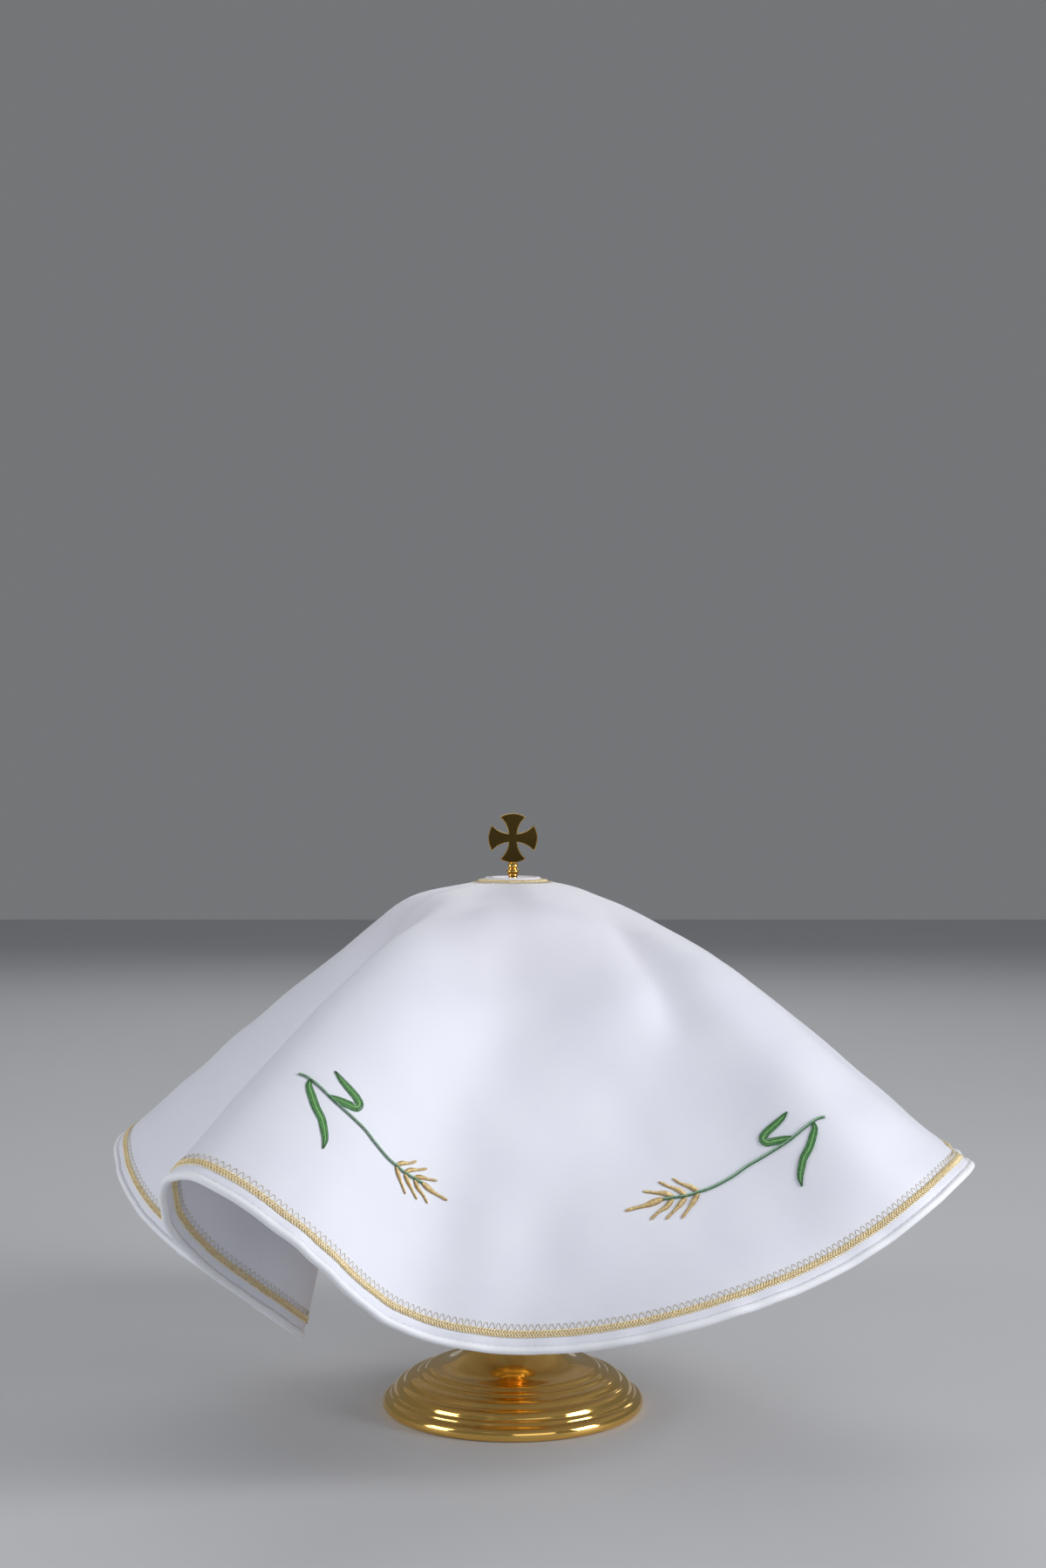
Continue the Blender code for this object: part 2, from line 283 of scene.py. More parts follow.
# The cross: a flat cast cross with four flared arms and a narrow raised border, polished and
# gilt. It is soldered to the neck and faces the front.

CROSS_RADIUS = 9.5 * MM
CROSS_THICKNESS = 2.2 * MM
CROSS_CENTRE = Vector((0, 0, 218.4 * MM))
NOTCH_RADIUS = 9.35 * MM
NOTCH_ALONG = 8.40 * MM
NOTCH_ACROSS = 7.17 * MM
BORDER_WIDTH = 0.30 * MM
BORDER_DEPTH = 0.22 * MM
EDGE_WEAR = 0.07 * MM


def disc(name, radius, thickness, centre):
    """A flat round plate that stands upright and faces the front."""
    bpy.ops.object.select_all(action="DESELECT")
    bpy.ops.mesh.primitive_cylinder_add(vertices=128, radius=radius, depth=thickness,
                                        location=centre, rotation=(math.pi / 2, 0, 0))
    piece = bpy.context.object
    piece.name = name
    piece.data.name = name
    bpy.ops.object.transform_apply(location=True, rotation=True, scale=True)
    return piece


def cut(piece, tool, operation):
    """Cut a piece with another one, or keep what they share, and remove the tool."""
    pick(piece)
    cutter = piece.modifiers.new("cut", "BOOLEAN")
    cutter.operation = operation
    cutter.object = tool
    bpy.ops.object.modifier_apply(modifier=cutter.name)
    bpy.data.objects.remove(tool, do_unlink=True)


def cross_plate(name, border, thickness, centre):
    """A disc with four pointed notches, each the lens that two larger discs share."""
    plate = disc(name, CROSS_RADIUS - border, thickness, centre)
    for quarter in range(4):
        diagonal = math.pi / 4 + quarter * math.pi / 2
        along = Vector((math.cos(diagonal), 0, math.sin(diagonal)))
        across = Vector((-math.sin(diagonal), 0, math.cos(diagonal)))
        middle = centre + along * NOTCH_ALONG
        notch = disc("notch", NOTCH_RADIUS + border, thickness * 2, middle - across * NOTCH_ACROSS)
        side = disc("side", NOTCH_RADIUS + border, thickness * 3, middle + across * NOTCH_ACROSS)
        cut(notch, side, "INTERSECT")
        cut(plate, notch, "DIFFERENCE")
    return plate


cross = cross_plate("cross_casting", 0, CROSS_THICKNESS, CROSS_CENTRE)
for face_side in (-1, 1):
    recess = Vector((0, face_side * CROSS_THICKNESS / 2, 0))
    sunk_plate = cross_plate("recess", BORDER_WIDTH, 2 * BORDER_DEPTH, CROSS_CENTRE + recess)
    cut(cross, sunk_plate, "DIFFERENCE")
soften = cross.modifiers.new("worn edges", "BEVEL")
soften.width = EDGE_WEAR
soften.segments = 2
soften.limit_method = "ANGLE"
soften.angle_limit = math.radians(40)
pick(cross)
bpy.ops.object.modifier_apply(modifier=soften.name)
bpy.ops.object.shade_smooth_by_angle(angle=math.radians(30))
cross.data.materials.clear()
cross.data.materials.append(gilt_finish("cross border", 0.10, 1.0, turned=False))
# The recessed faces take gold darkened to 0.16 of its colour: a painted dark reflection.
cross.data.materials.append(gilt_finish("cross face painted dark", 0.22, 0.16, turned=False))
for face in cross.data.polygons:
    sunk = abs(face.center.y) < CROSS_THICKNESS / 2 - BORDER_DEPTH / 2
    face.material_index = int(abs(face.normal.y) > 0.9 and sunk)
    face.use_smooth = abs(face.normal.y) < 0.9
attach(cross, "root")
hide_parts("cross")


# The veil: one round white cloth of stiff satin, 41 cm across, with a hemmed hole for the neck
# and a rolled hem round its edge. It lies on the lid and hangs in uneven folds. It doesn't
# stretch, so each thread from the lid's shoulder to the hem keeps its length.

CLOTH_RADIUS = 205 * MM
HOLE_RADIUS = 9.5 * MM
HALF_THICKNESS_MM = 0.6
CLOTH_TOP = 201.5 * MM
CROWN_RADIUS = 15.5 * MM
CROWN_DROP = 0.8 * MM
CROWN_SLOPE = math.radians(9)
SHOULDER_REACH = 50 * MM
SHOULDER_RADIUS = 47 * MM
SHOULDER_HEIGHT = 188.7 * MM
SHOULDER_BEND = 0.45
FRONT_MIDDLE_ANGLE = math.radians(-75)
CLOTH_STEPS = 512
STEPS_BETWEEN_FOLDS = 48
HANGING_ROUNDS = 14

Fold = namedtuple("Fold", "name x y lift belly")

# The folds in order round the hem, anticlockwise seen from above, in millimetres. x and y say
# where the hem hangs in plan, lift how far the fold raises the cloth off the lid's shoulder, and
# belly how far the cloth below the shoulder swells out, or draws in where it is negative. The rows
# of the visible front began as a program's fit of this cloth to the photograph's outline and hem,
# and were then rounded to whole millimetres. The back rows are guessed.
FOLDS = (
    Fold("front middle", 10, -114, -1, -1),
    Fold("front right", 70, -118, -1, 0),
    Fold("right front slope", 112, -102, -1, 0),
    Fold("right ridge front", 155, -78, -2, 1),
    Fold("right ridge tip", 170, -24, 0, 1),
    Fold("right ridge back", 158, 36, 0, 2),
    Fold("right back valley", 104, 66, -1, -1),
    Fold("back right ridge", 92, 142, 1, 3),
    Fold("back valley", 26, 118, -1, -1),
    Fold("back left ridge", -28, 170, 1, 3),
    Fold("back left valley", -62, 103, -1, -2),
    Fold("left back slope", -100, 104, 1, 0),
    Fold("left back ridge", -138, 92, -1, 0),
    Fold("left back nose", -162, 50, -2, 1),
    Fold("left back turn", -148, 15, 0, 1),
    Fold("left pleat", -109, -17, 2, -2),
    Fold("left valley", -76, -60, -2, -3),
    Fold("left valley rise", -88, -88, 3, -4),
    Fold("left front turn", -114, -114, 5, 0),
    Fold("left front ridge", -112, -136, 4, 4),
    Fold("front left ridge", -88, -153, 2, 4),
    Fold("front left slope", -63, -150, 1, 1),
    Fold("front left hollow", -43, -131, -1, 0),
)

# The two edges in section: distance from the cloth's middle, half its thickness, and how far it
# stands above the sheet, in millimetres. The hole's edge is rolled up, the outer hem rolled over.
EdgeRow = namedtuple("EdgeRow", "reach half_thickness rise")
HOLE_EDGE = (
    EdgeRow(9.50, 0.00, 1.0), EdgeRow(9.56, 0.50, 1.0), EdgeRow(9.80, 0.92, 1.0),
    EdgeRow(10.15, 1.05, 0.9), EdgeRow(10.55, 0.90, 0.7), EdgeRow(10.85, 0.62, 0.4),
    EdgeRow(11.20, 0.58, 0.2), EdgeRow(12.00, 0.60, 0.0),
)
OUTER_EDGE = (
    EdgeRow(199.90, 0.60, 0.0), EdgeRow(200.60, 0.66, 0.0), EdgeRow(201.60, 0.62, 0.0),
    EdgeRow(202.05, 0.54, 0.0), EdgeRow(202.30, 0.42, 0.0), EdgeRow(202.45, 0.70, 0.0),
    EdgeRow(202.65, 1.10, 0.0), EdgeRow(203.05, 1.42, 0.0), EdgeRow(203.70, 1.52, 0.0),
    EdgeRow(204.30, 1.30, 0.0), EdgeRow(204.75, 0.86, 0.0), EdgeRow(204.96, 0.42, 0.0),
    EdgeRow(205.00, 0.00, 0.0),
)
PLAIN_RINGS = 54


# Soft creases within the folds, as lines on the flat cloth that fade at both ends. Each end is
# given by its angle in degrees and its distance from the middle; a negative height is a hollow.
# Their places were read off the photograph's shading and then set in trials.
Crease = namedtuple("Crease", "name start end width height")
CREASES = (
    Crease("roll over the lid's shoulder", (248, 54), (314, 54), 10, 2.6),
    Crease("hollow under the shoulder", (250, 80), (294, 80), 18, -2.6),
    Crease("left ridge", (246, 60), (246, 200), 18, 3.0),
    Crease("front middle swell", (278, 120), (278, 200), 28, 6.0),
    Crease("right hollow, narrow at the top", (321, 48), (313, 104), 9, -3.2),
    Crease("right hollow", (302, 104), (302, 196), 28, -7.5),
    Crease("right ridge", (330, 66), (323, 194), 24, 9.0),
    Crease("dent at the left", (227, 46), (231, 86), 7, -2.2),
    Crease("left shoulder fold", (218, 52), (221, 84), 7, 0.8),
    Crease("back hollow", (78, 60), (76, 160), 14, -1.8),
    Crease("back ridge", (103, 64), (101, 180), 12, 1.6),
)
CREASE_FADE = 0.25

# Faint ripples over the whole cloth, and puckers that the hem's stitches draw. Both are in
# millimetres, and neither reaches the flat part round the hole.
RIPPLE_COUNT = 14
RIPPLE_HEIGHT = 0.05
RIPPLE_WAVES = (0.09, 0.26)
PUCKER_COUNT = 61
PUCKER_HEIGHT = 0.28
PUCKER_START = 190
PUCKER_RISE = 12
FLAT_PART_END = 16
FLAT_PART_FADE = 20
ROLL_START = 202.3 * MM


def closed_curve(rows, steps):
    """A smooth closed curve through the rows, spaced by their distance in plan.

    It is a periodic cubic spline, worked out for every column of the rows at once.
    """
    count = len(rows)
    after = np.roll(rows, -1, axis=0)
    span = np.linalg.norm((after - rows)[:, :2], axis=1)
    before = np.roll(span, 1)
    slope = (after - rows) / span[:, None]
    matrix = np.zeros((count, count))
    for row in range(count):
        matrix[row, row - 1] += before[row]
        matrix[row, row] += 2 * (before[row] + span[row])
        matrix[row, (row + 1) % count] += span[row]
    curvature = np.linalg.solve(matrix, 6 * (slope - np.roll(slope, 1, axis=0)))
    points = []
    for row in range(count):
        part = np.linspace(0, 1, steps, endpoint=False)[:, None]
        following = (row + 1) % count
        bend = ((1 - part) ** 3 - (1 - part)) * curvature[row]
        bend = bend + (part ** 3 - part) * curvature[following]
        points.append((1 - part) * rows[row] + part * rows[following] + span[row] ** 2 / 6 * bend)
    return np.concatenate(points)


def hang_hem():
    """The hem in space, with its lift and belly, read evenly round the cloth."""
    rows = np.array([(fold.x, fold.y, fold.lift, fold.belly) for fold in FOLDS]) * MM
    curve = closed_curve(rows, STEPS_BETWEEN_FOLDS)
    plan, lift, belly = curve[:, :2], curve[:, 2], curve[:, 3]
    skirt = CLOTH_RADIUS - SHOULDER_REACH
    thread = skirt - 8 / 3 * belly ** 2 / skirt
    angle = np.unwrap(np.arctan2(plan[:, 1], plan[:, 0]))
    height = np.full(len(plan), SHOULDER_HEIGHT - skirt / 2)
    for _ in range(HANGING_ROUNDS):
        shoulder = SHOULDER_RADIUS * np.column_stack([np.cos(angle), np.sin(angle)])
        reach = ((plan - shoulder) ** 2).sum(axis=1)
        hung = SHOULDER_HEIGHT + lift - np.sqrt(np.maximum(thread ** 2 - reach, 0))
        height = (height + hung) / 2
        hem = np.column_stack([plan, height])
        lengths = np.linalg.norm(np.roll(hem, -1, axis=0) - hem, axis=1)
        along = np.concatenate([[0], np.cumsum(lengths)])
        angle = FRONT_MIDDLE_ANGLE + 2 * math.pi * along[:-1] / along[-1]
    even = FRONT_MIDDLE_ANGLE + 2 * math.pi * np.arange(CLOTH_STEPS) / CLOTH_STEPS
    known = np.append(angle, angle[0] + 2 * math.pi)
    columns = []
    for value in (*hem.T, lift, belly):
        columns.append(np.interp(even, known, np.append(value, value[0])))
    return even, np.column_stack(columns[:3]), columns[3], columns[4]


def curve_between(part, start, start_slope, end, end_slope):
    """A point of the smooth curve that leaves start and reaches end along the given slopes."""
    cube, square = part ** 3, part ** 2
    return ((2 * cube - 3 * square + 1) * start + (cube - 2 * square + part) * start_slope
            + (3 * square - 2 * cube) * end + (cube - square) * end_slope)


def unit(vectors):
    return vectors / np.linalg.norm(vectors, axis=-1)[..., None]


def hang_cloth(reaches):
    """The cloth's middle surface, one ring of points for each distance from its centre."""
    angle, hem, lift, belly = hang_hem()
    up = np.array([0.0, 0.0, 1.0])
    outward = np.column_stack([np.cos(angle), np.sin(angle), np.zeros(len(angle))])
    crown = CROWN_RADIUS * outward + (CLOTH_TOP - CROWN_DROP) * up
    shoulder = SHOULDER_RADIUS * outward + (SHOULDER_HEIGHT + lift)[:, None] * up
    falling = unit(hem - shoulder)
    over = unit(unit(shoulder - crown) * (1 - SHOULDER_BEND) + falling * SHOULDER_BEND)
    leaving = outward * math.cos(CROWN_SLOPE) - up * math.sin(CROWN_SLOPE)
    swell = np.cross(unit(np.cross(falling, up)), falling)
    cap = SHOULDER_REACH - CROWN_RADIUS
    skirt = CLOTH_RADIUS - SHOULDER_REACH
    rings = []
    for reach in reaches:
        if reach < CROWN_RADIUS:
            part = (reach - HOLE_RADIUS) / (CROWN_RADIUS - HOLE_RADIUS)
            rings.append(reach * outward + (CLOTH_TOP - CROWN_DROP * part ** 2) * up)
        elif reach < SHOULDER_REACH:
            part = (reach - CROWN_RADIUS) / cap
            rings.append(curve_between(part, crown, leaving * cap, shoulder, over * cap))
        else:
            part = (reach - SHOULDER_REACH) / skirt
            ring = curve_between(part, shoulder, over * skirt, hem, falling * skirt)
            rings.append(ring + 4 * part * (1 - part) * belly[:, None] * swell)
    return np.array(rings)


plain_reaches = np.linspace(HOLE_EDGE[-1].reach, OUTER_EDGE[0].reach, PLAIN_RINGS)[1:-1]
plain_rows = [EdgeRow(reach, HALF_THICKNESS_MM, 0) for reach in plain_reaches]
edge_rows = [*HOLE_EDGE, *plain_rows, *OUTER_EDGE]
REACHES = np.array([row.reach for row in edge_rows]) * MM
HALVES = np.array([row.half_thickness for row in edge_rows]) * MM
RISES = np.array([row.rise for row in edge_rows]) * MM
ANGLES = FRONT_MIDDLE_ANGLE + 2 * math.pi * np.arange(CLOTH_STEPS) / CLOTH_STEPS
FLAT_X = REACHES[:, None] * np.cos(ANGLES)
FLAT_Y = REACHES[:, None] * np.sin(ANGLES)


def facing(surface):
    """The directions in which the outside of a ring-by-ring surface faces."""
    round_it = np.roll(surface, -1, axis=1) - np.roll(surface, 1, axis=1)
    outwards = np.gradient(surface, REACHES, axis=0)
    return unit(np.cross(outwards, round_it))


def flat_point(angle, reach):
    """A point of the flat cloth, from its angle in degrees and its distance from the middle."""
    turned = math.radians(angle)
    return reach * np.array([math.cos(turned), math.sin(turned)])


def relief():
    """How far creases, faint ripples and the hem's puckers move the cloth along its normal."""
    height = np.zeros_like(FLAT_X)
    for crease in CREASES:
        start = flat_point(*crease.start)
        run = flat_point(*crease.end) - start
        x, y = FLAT_X / MM - start[0], FLAT_Y / MM - start[1]
        whole = (x * run[0] + y * run[1]) / (run @ run)
        part = np.clip(whole, 0, 1)
        distance = np.hypot(x - part * run[0], y - part * run[1])
        inside = np.minimum(whole + CREASE_FADE, 1 + CREASE_FADE - whole)
        fade = np.clip(inside / (2 * CREASE_FADE), 0, 1)
        height += crease.height * fade ** 2 * (3 - 2 * fade) * np.exp(-(distance / crease.width) ** 2)
    draw = np.random.default_rng(5)
    for _ in range(RIPPLE_COUNT):
        wave = draw.uniform(*RIPPLE_WAVES) * np.exp(1j * draw.uniform(0, 2 * math.pi))
        phase = draw.uniform(0, 2 * math.pi)
        height += RIPPLE_HEIGHT * np.sin((FLAT_X * wave.real + FLAT_Y * wave.imag) / MM + phase)
    hem_share = np.clip((REACHES / MM - PUCKER_START) / PUCKER_RISE, 0, 1)[:, None] ** 2
    bunch = np.sin(PUCKER_COUNT * ANGLES + 1.7 * np.sin(7 * ANGLES)) + 0.5 * np.sin(97 * ANGLES + 2)
    height += PUCKER_HEIGHT * hem_share * bunch
    settled = np.clip((REACHES / MM - FLAT_PART_END) / FLAT_PART_FADE, 0, 1)[:, None]
    return height * settled * MM


middle_surface = hang_cloth(REACHES)
middle_surface = middle_surface + relief()[..., None] * facing(middle_surface)
normals = facing(middle_surface)
middle_surface = middle_surface + RISES[:, None, None] * normals


def add_shell(name, surface, directions, halves):
    """A thin closed cloth round a surface: its outside, its underside and its two edges."""
    sides = np.concatenate([surface + halves * directions, surface - halves * directions])
    rings = len(surface)
    faces = []
    for ring in range(rings - 1):
        for step in range(CLOTH_STEPS):
            here = ring * CLOTH_STEPS + step
            beside = ring * CLOTH_STEPS + (step + 1) % CLOTH_STEPS
            under = rings * CLOTH_STEPS
            faces.append((here, here + CLOTH_STEPS, beside + CLOTH_STEPS, beside))
            faces.append((under + beside, under + beside + CLOTH_STEPS, under + here + CLOTH_STEPS,
                          under + here))
    mesh = bpy.data.meshes.new(name)
    mesh.from_pydata(sides.reshape(-1, 3).tolist(), [], faces)
    flat = np.stack([FLAT_X, FLAT_Y, np.zeros_like(FLAT_X)], axis=-1).reshape(-1, 3)
    place = mesh.attributes.new("flat_place", "FLOAT_VECTOR", "POINT")
    place.data.foreach_set("vector", np.concatenate([flat, flat]).ravel())
    piece = bpy.data.objects.new(name, mesh)
    bpy.context.collection.objects.link(piece)
    pick(piece)
    bpy.ops.object.mode_set(mode="EDIT")
    bpy.ops.mesh.select_all(action="SELECT")
    bpy.ops.mesh.remove_doubles(threshold=0.000001)
    bpy.ops.object.mode_set(mode="OBJECT")
    bpy.ops.object.shade_smooth()
    return piece


def satin_finish():
    """White satin: slanting floats, soft slubs, a low sheen, a painted gilt glow and a painted hem
    highlight.
    """
    satin, shader, nodes = new_finish("white satin", Sheen_Weight=0.25, Sheen_Roughness=0.4)
    flat = nodes.node("Attribute", {"attribute_name": "flat_place"}, output=1)
    turned = nodes.node("Mapping", {}, {"Vector": flat, "Rotation": (0, 0, 0.45)})
    floats = nodes.node("TexWave", {"bands_direction": "Y"},
                        {"Vector": turned, "Scale": 900, "Distortion": 1.2, "Detail": 2,
                         "Detail Scale": 1.5}, 1)
    long_way = nodes.node("Mapping", {}, {"Vector": flat, "Scale": (220, 2400, 1)})
    slubs = nodes.node("TexNoise", sockets={"Vector": long_way, "Scale": 1.0, "Detail": 3})
    soft = nodes.node("TexNoise", sockets={"Vector": flat, "Scale": 45, "Detail": 4,
                                           "Roughness": 0.45})
    reach = nodes.node("VectorMath", {"operation": "LENGTH"}, {"Vector": flat}, 1)
    tone = nodes.node("Mix", {"data_type": "RGBA"},
                      {"Factor": soft * 0.6 + slubs * 0.4, "A": (0.76, 0.78, 0.87, 1),
                       "B": (0.86, 0.87, 0.94, 1)}, 2)
    # A faint pink tint, full within 60 mm of the middle and gone at 92 mm: a painted glow of the gilt
    # lid's light through the cloth.
    painted_gilt_glow = nodes.node("ValToRGB", {"stops": ((0.30, (1, 0.975, 0.975, 1)), (0.46, (1, 1, 1, 1)))},
                        {"Fac": reach * 5})
    tone = nodes.node("Mix", {"data_type": "RGBA", "blend_type": "MULTIPLY"},
                      {"Factor": 1.0, "A": tone, "B": painted_gilt_glow}, 2)
    # Beyond the roll's start the cloth is mixed 0.7 of the way to a whiter colour: a painted
    # highlight on the rolled hem.
    painted_roll_highlight = nodes.node("ValToRGB", {"stops": ((0.5, (0, 0, 0, 1)), (0.51, (1, 1, 1, 1)))},
                         {"Fac": (reach - ROLL_START) * 25 + 0.5})
    tone = nodes.node("Mix", {"data_type": "RGBA"},
                      {"Factor": painted_roll_highlight * 0.7, "A": tone, "B": (0.93, 0.935, 0.97, 1)}, 2)
    nodes.feed(shader["Base Color"], tone)
    nodes.feed(shader["Roughness"], slubs * 0.16 + 0.46)
    weave = floats * 0.35 + slubs * 0.5 + soft * 2.0
    bump = nodes.node("Bump", sockets={"Height": weave, "Strength": 0.35, "Distance": 0.00012})
    nodes.feed(shader["Normal"], bump)
    return satin


veil = add_shell("veil_cloth", middle_surface, normals, HALVES[:, None, None])
veil.data.materials.append(satin_finish())
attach(veil, "root")
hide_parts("veil")


# The gold band along the hem: metallic thread sewn by machine through the cloth, so that it shows
# on both faces. Three threads cross in a narrow plait, and a fourth loops away from the hem.

LOOPS_ROUND_HEM = 528
CROSSINGS_PER_LOOP = 0.75
BAND_MIDDLE = 198.35
BAND_HALF_WIDTH = 1.05
LOOP_FOOT = 197.3
LOOP_TOP = 195.2
BAND_THREAD = 0.56
LOOP_THREAD = 0.20


def thread_finish(name, light, dark, metallic, roughness):
    """Embroidery thread: its shade changes from stitch to stitch, with fine twist lines."""
    thread, shader, nodes = new_finish(name, Metallic=metallic, Sheen_Weight=0.15)
    place = nodes.node("TexCoord", output=3)
    stitches = nodes.node("TexNoise", sockets={"Vector": place, "Scale": 900, "Detail": 2})
    twist = nodes.node("TexNoise", sockets={"Vector": place, "Scale": 5200, "Detail": 1})
    colour = nodes.node("Mix", {"data_type": "RGBA"},
                        {"Factor": stitches * 1.6 - 0.3, "A": (*dark, 1), "B": (*light, 1)}, 2)
    nodes.feed(shader["Base Color"], colour)
    nodes.feed(shader["Roughness"], twist * 0.2 + (roughness - 0.1))
    bump = nodes.node("Bump", sockets={"Height": twist, "Strength": 0.4, "Distance": 0.00008})
    nodes.feed(shader["Normal"], bump)
    return thread


def sew(name, threads, thickness, closed=False):
    """Lay threads on the flat cloth, as rows of x, y and height in millimetres, in one piece."""
    curve = bpy.data.curves.new(name, "CURVE")
    curve.dimensions = "3D"
    curve.bevel_depth = thickness / 2 * MM
    curve.bevel_resolution = 0
    curve.use_fill_caps = True
    for points in threads:
        spline = curve.splines.new("POLY")
        spline.points.add(len(points) - 1)
        rows = np.column_stack([np.asarray(points) * MM, np.ones(len(points))])
        spline.points.foreach_set("co", rows.ravel())
        spline.use_cyclic_u = closed
    piece = bpy.data.objects.new(name, curve)
    bpy.context.collection.objects.link(piece)
    pick(piece)
    bpy.ops.object.convert(target="MESH")
    bpy.ops.object.shade_smooth()
    return bpy.context.object


def drape(piece, side=1):
    """Move a piece that was sewn on the flat cloth to where that cloth hangs.

    Its z becomes the height above the cloth's face: the outside for side 1, the underside for -1.
    """
    mesh = piece.data
    flat = np.empty(len(mesh.vertices) * 3)
    mesh.vertices.foreach_get("co", flat)
    flat = flat.reshape(-1, 3)
    reach = np.hypot(flat[:, 0], flat[:, 1])
    ring = np.interp(reach, REACHES, np.arange(len(REACHES)))
    turned = np.arctan2(flat[:, 1], flat[:, 0]) - FRONT_MIDDLE_ANGLE
    step = turned / (2 * math.pi) * CLOTH_STEPS % CLOTH_STEPS
    low_ring = np.minimum(ring.astype(int), len(REACHES) - 2)
    low_step = step.astype(int) % CLOTH_STEPS
    next_step = (low_step + 1) % CLOTH_STEPS
    out, across = (ring - low_ring)[:, None], (step - step.astype(int))[:, None]

    def between(table):
        near = table[low_ring, low_step] * (1 - across) + table[low_ring, next_step] * across
        far = table[low_ring + 1, low_step] * (1 - across) + table[low_ring + 1, next_step] * across
        return near * (1 - out) + far * out

    height = np.interp(reach, REACHES, HALVES) + flat[:, 2]
    hung = between(middle_surface) + side * height[:, None] * unit(between(normals))
    mesh.vertices.foreach_set("co", hung.ravel())
    mesh.update()
    if side < 0:
        pick(piece)
        bpy.ops.object.mode_set(mode="EDIT")
        bpy.ops.mesh.select_all(action="SELECT")
        bpy.ops.mesh.flip_normals()
        bpy.ops.object.mode_set(mode="OBJECT")
    return piece


def join(name, pieces):
    """Make one piece of several."""
    bpy.ops.object.select_all(action="DESELECT")
    for piece in pieces:
        piece.select_set(True)
    bpy.context.view_layer.objects.active = pieces[0]
    bpy.ops.object.join()
    pieces[0].name = name
    pieces[0].data.name = name
    return pieces[0]


def round_cloth(reach, turns, height):
    """Points on the flat cloth from their distance to its centre and their share of a turn."""
    angle = FRONT_MIDDLE_ANGLE + 2 * math.pi * turns
    return np.column_stack([reach * np.cos(angle), reach * np.sin(angle), height])


def plait(count, middle, half_width, phase):
    """One strand of a three-strand plait: it swings to and fro, over and under the others."""
    parts = np.arange(count * 10) / 10
    swing = 2 * math.pi * (parts + phase)
    reach = middle + half_width * np.sin(swing)
    return round_cloth(reach, parts / count, 0.16 + 0.2 * np.sin(2 * swing))


def loops(count, foot, top):
    """One thread in rounded loops that stand on a circle."""
    parts = np.arange(count * 10) / 10
    swing = parts % 1
    rise = np.clip(1.25 * np.sin(np.pi * swing) - 0.25, 0, 1) ** 0.8
    return round_cloth(foot + (top - foot) * rise, parts / count, 0.02 + 0.12 * rise)


def stitched_band(name, count, middle, half_width, foot, top, side):
    """The whole band on one face of the cloth: the plait and the loops that stand on it."""
    crossings = int(count * CROSSINGS_PER_LOOP)
    strands = [plait(crossings, middle, half_width, phase / 3) for phase in range(3)]
    thick = sew(name, strands, BAND_THREAD, closed=True)
    thick.data.materials.append(gold_thread)
    thin = sew(name + "_loops", [loops(count, foot, top)], LOOP_THREAD, closed=True)
    thin.data.materials.append(loop_thread)
    return drape(join(name, [thick, thin]), side)


gold_thread = thread_finish("gold thread", (1.0, 0.88, 0.58), (0.80, 0.60, 0.28), 0.2, 0.34)
loop_thread = thread_finish("fine loop thread", (0.74, 0.65, 0.48), (0.50, 0.42, 0.28), 0.2, 0.40)
for name, side in (("hem_band_outside", 1), ("hem_band_underside", -1)):
    band = stitched_band(name, LOOPS_ROUND_HEM, BAND_MIDDLE, BAND_HALF_WIDTH, LOOP_FOOT, LOOP_TOP,
                         side)
    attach(band, "root")


# The hem's own stitches: white thread in the crease beside the rolled edge, a plain straight
# stitch that holds the roll, on both faces.

HEM_STITCHES = 468
HEM_STITCH_REACH = 202.3
HEM_STITCH_SHARE = 0.80
HEM_THREAD = 0.26


def straight_stitches(name, count, reach, side):
    """A ring of short straight stitches, each a little sunk at its ends."""
    rows = []
    for stitch in range(count):
        turns = (stitch + np.array([0, 0.12, 0.5, 0.88, 1]) * HEM_STITCH_SHARE) / count
        height = np.array([-0.12, 0.04, 0.10, 0.04, -0.12])
        rows.append(round_cloth(np.full(5, reach), turns, height))
    return drape(sew(name, rows, HEM_THREAD), side)


white_thread = thread_finish("white thread", (0.86, 0.87, 0.90), (0.66, 0.68, 0.74), 0.0, 0.45)
hem_stitches = join("hem_stitches", [
    straight_stitches("stitches_outside", HEM_STITCHES, HEM_STITCH_REACH, 1),
    straight_stitches("stitches_underside", HEM_STITCHES, HEM_STITCH_REACH, -1),
])
hem_stitches.data.materials.append(white_thread)
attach(hem_stitches, "root")


# The ring of gold stitches round the hole: the same braid and loops as along the hem, smaller,
# with the loops turned outwards, just outside the rolled edge.

LOOPS_ROUND_HOLE = 48
RING_MIDDLE = 12.2
RING_HALF_WIDTH = 1.0
RING_LOOP_FOOT = 13.2
RING_LOOP_TOP = 15.6
hole_ring = stitched_band("hole_ring", LOOPS_ROUND_HOLE, RING_MIDDLE, RING_HALF_WIDTH,
                          RING_LOOP_FOOT, RING_LOOP_TOP, 1)
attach(hole_ring, "root")


# The two sprigs of wheat: machine embroidery in satin stitch, a pair that mirror each other on
# the front. Green leaves with darker edge lines, a green stem with a dark line of painted shade
# along its side towards the hem, and an ear of gold grains, each with a dark edge of painted shade
# on its side towards the hem.

Placing = namedtuple("Placing", "word angle reach tilt size leaf_share mirrored")
PLACINGS = (
    Placing("left", 255, 155, 0, 0.88, 1.0, False),
    Placing("right", 314, 156.5, 3, 1.06, 0.82, True),
)

# The lines below were read off the photograph along each stitched shape, laid on the flat cloth
# by a program, and rounded to half a millimetre.
STEM = ((-24.3, -1.4), (-22.3, -1.8), (-20, -1.6), (-16.5, -1), (-13.5, -0.3), (-9.5, 0.5), (-5, 1),
        (0, 1.5), (5, 2), (10, 3), (15, 3.5), (19.5, 3.5), (23.5, 3), (27.5, 2.5), (31.5, 1.5),
        (37, 0))

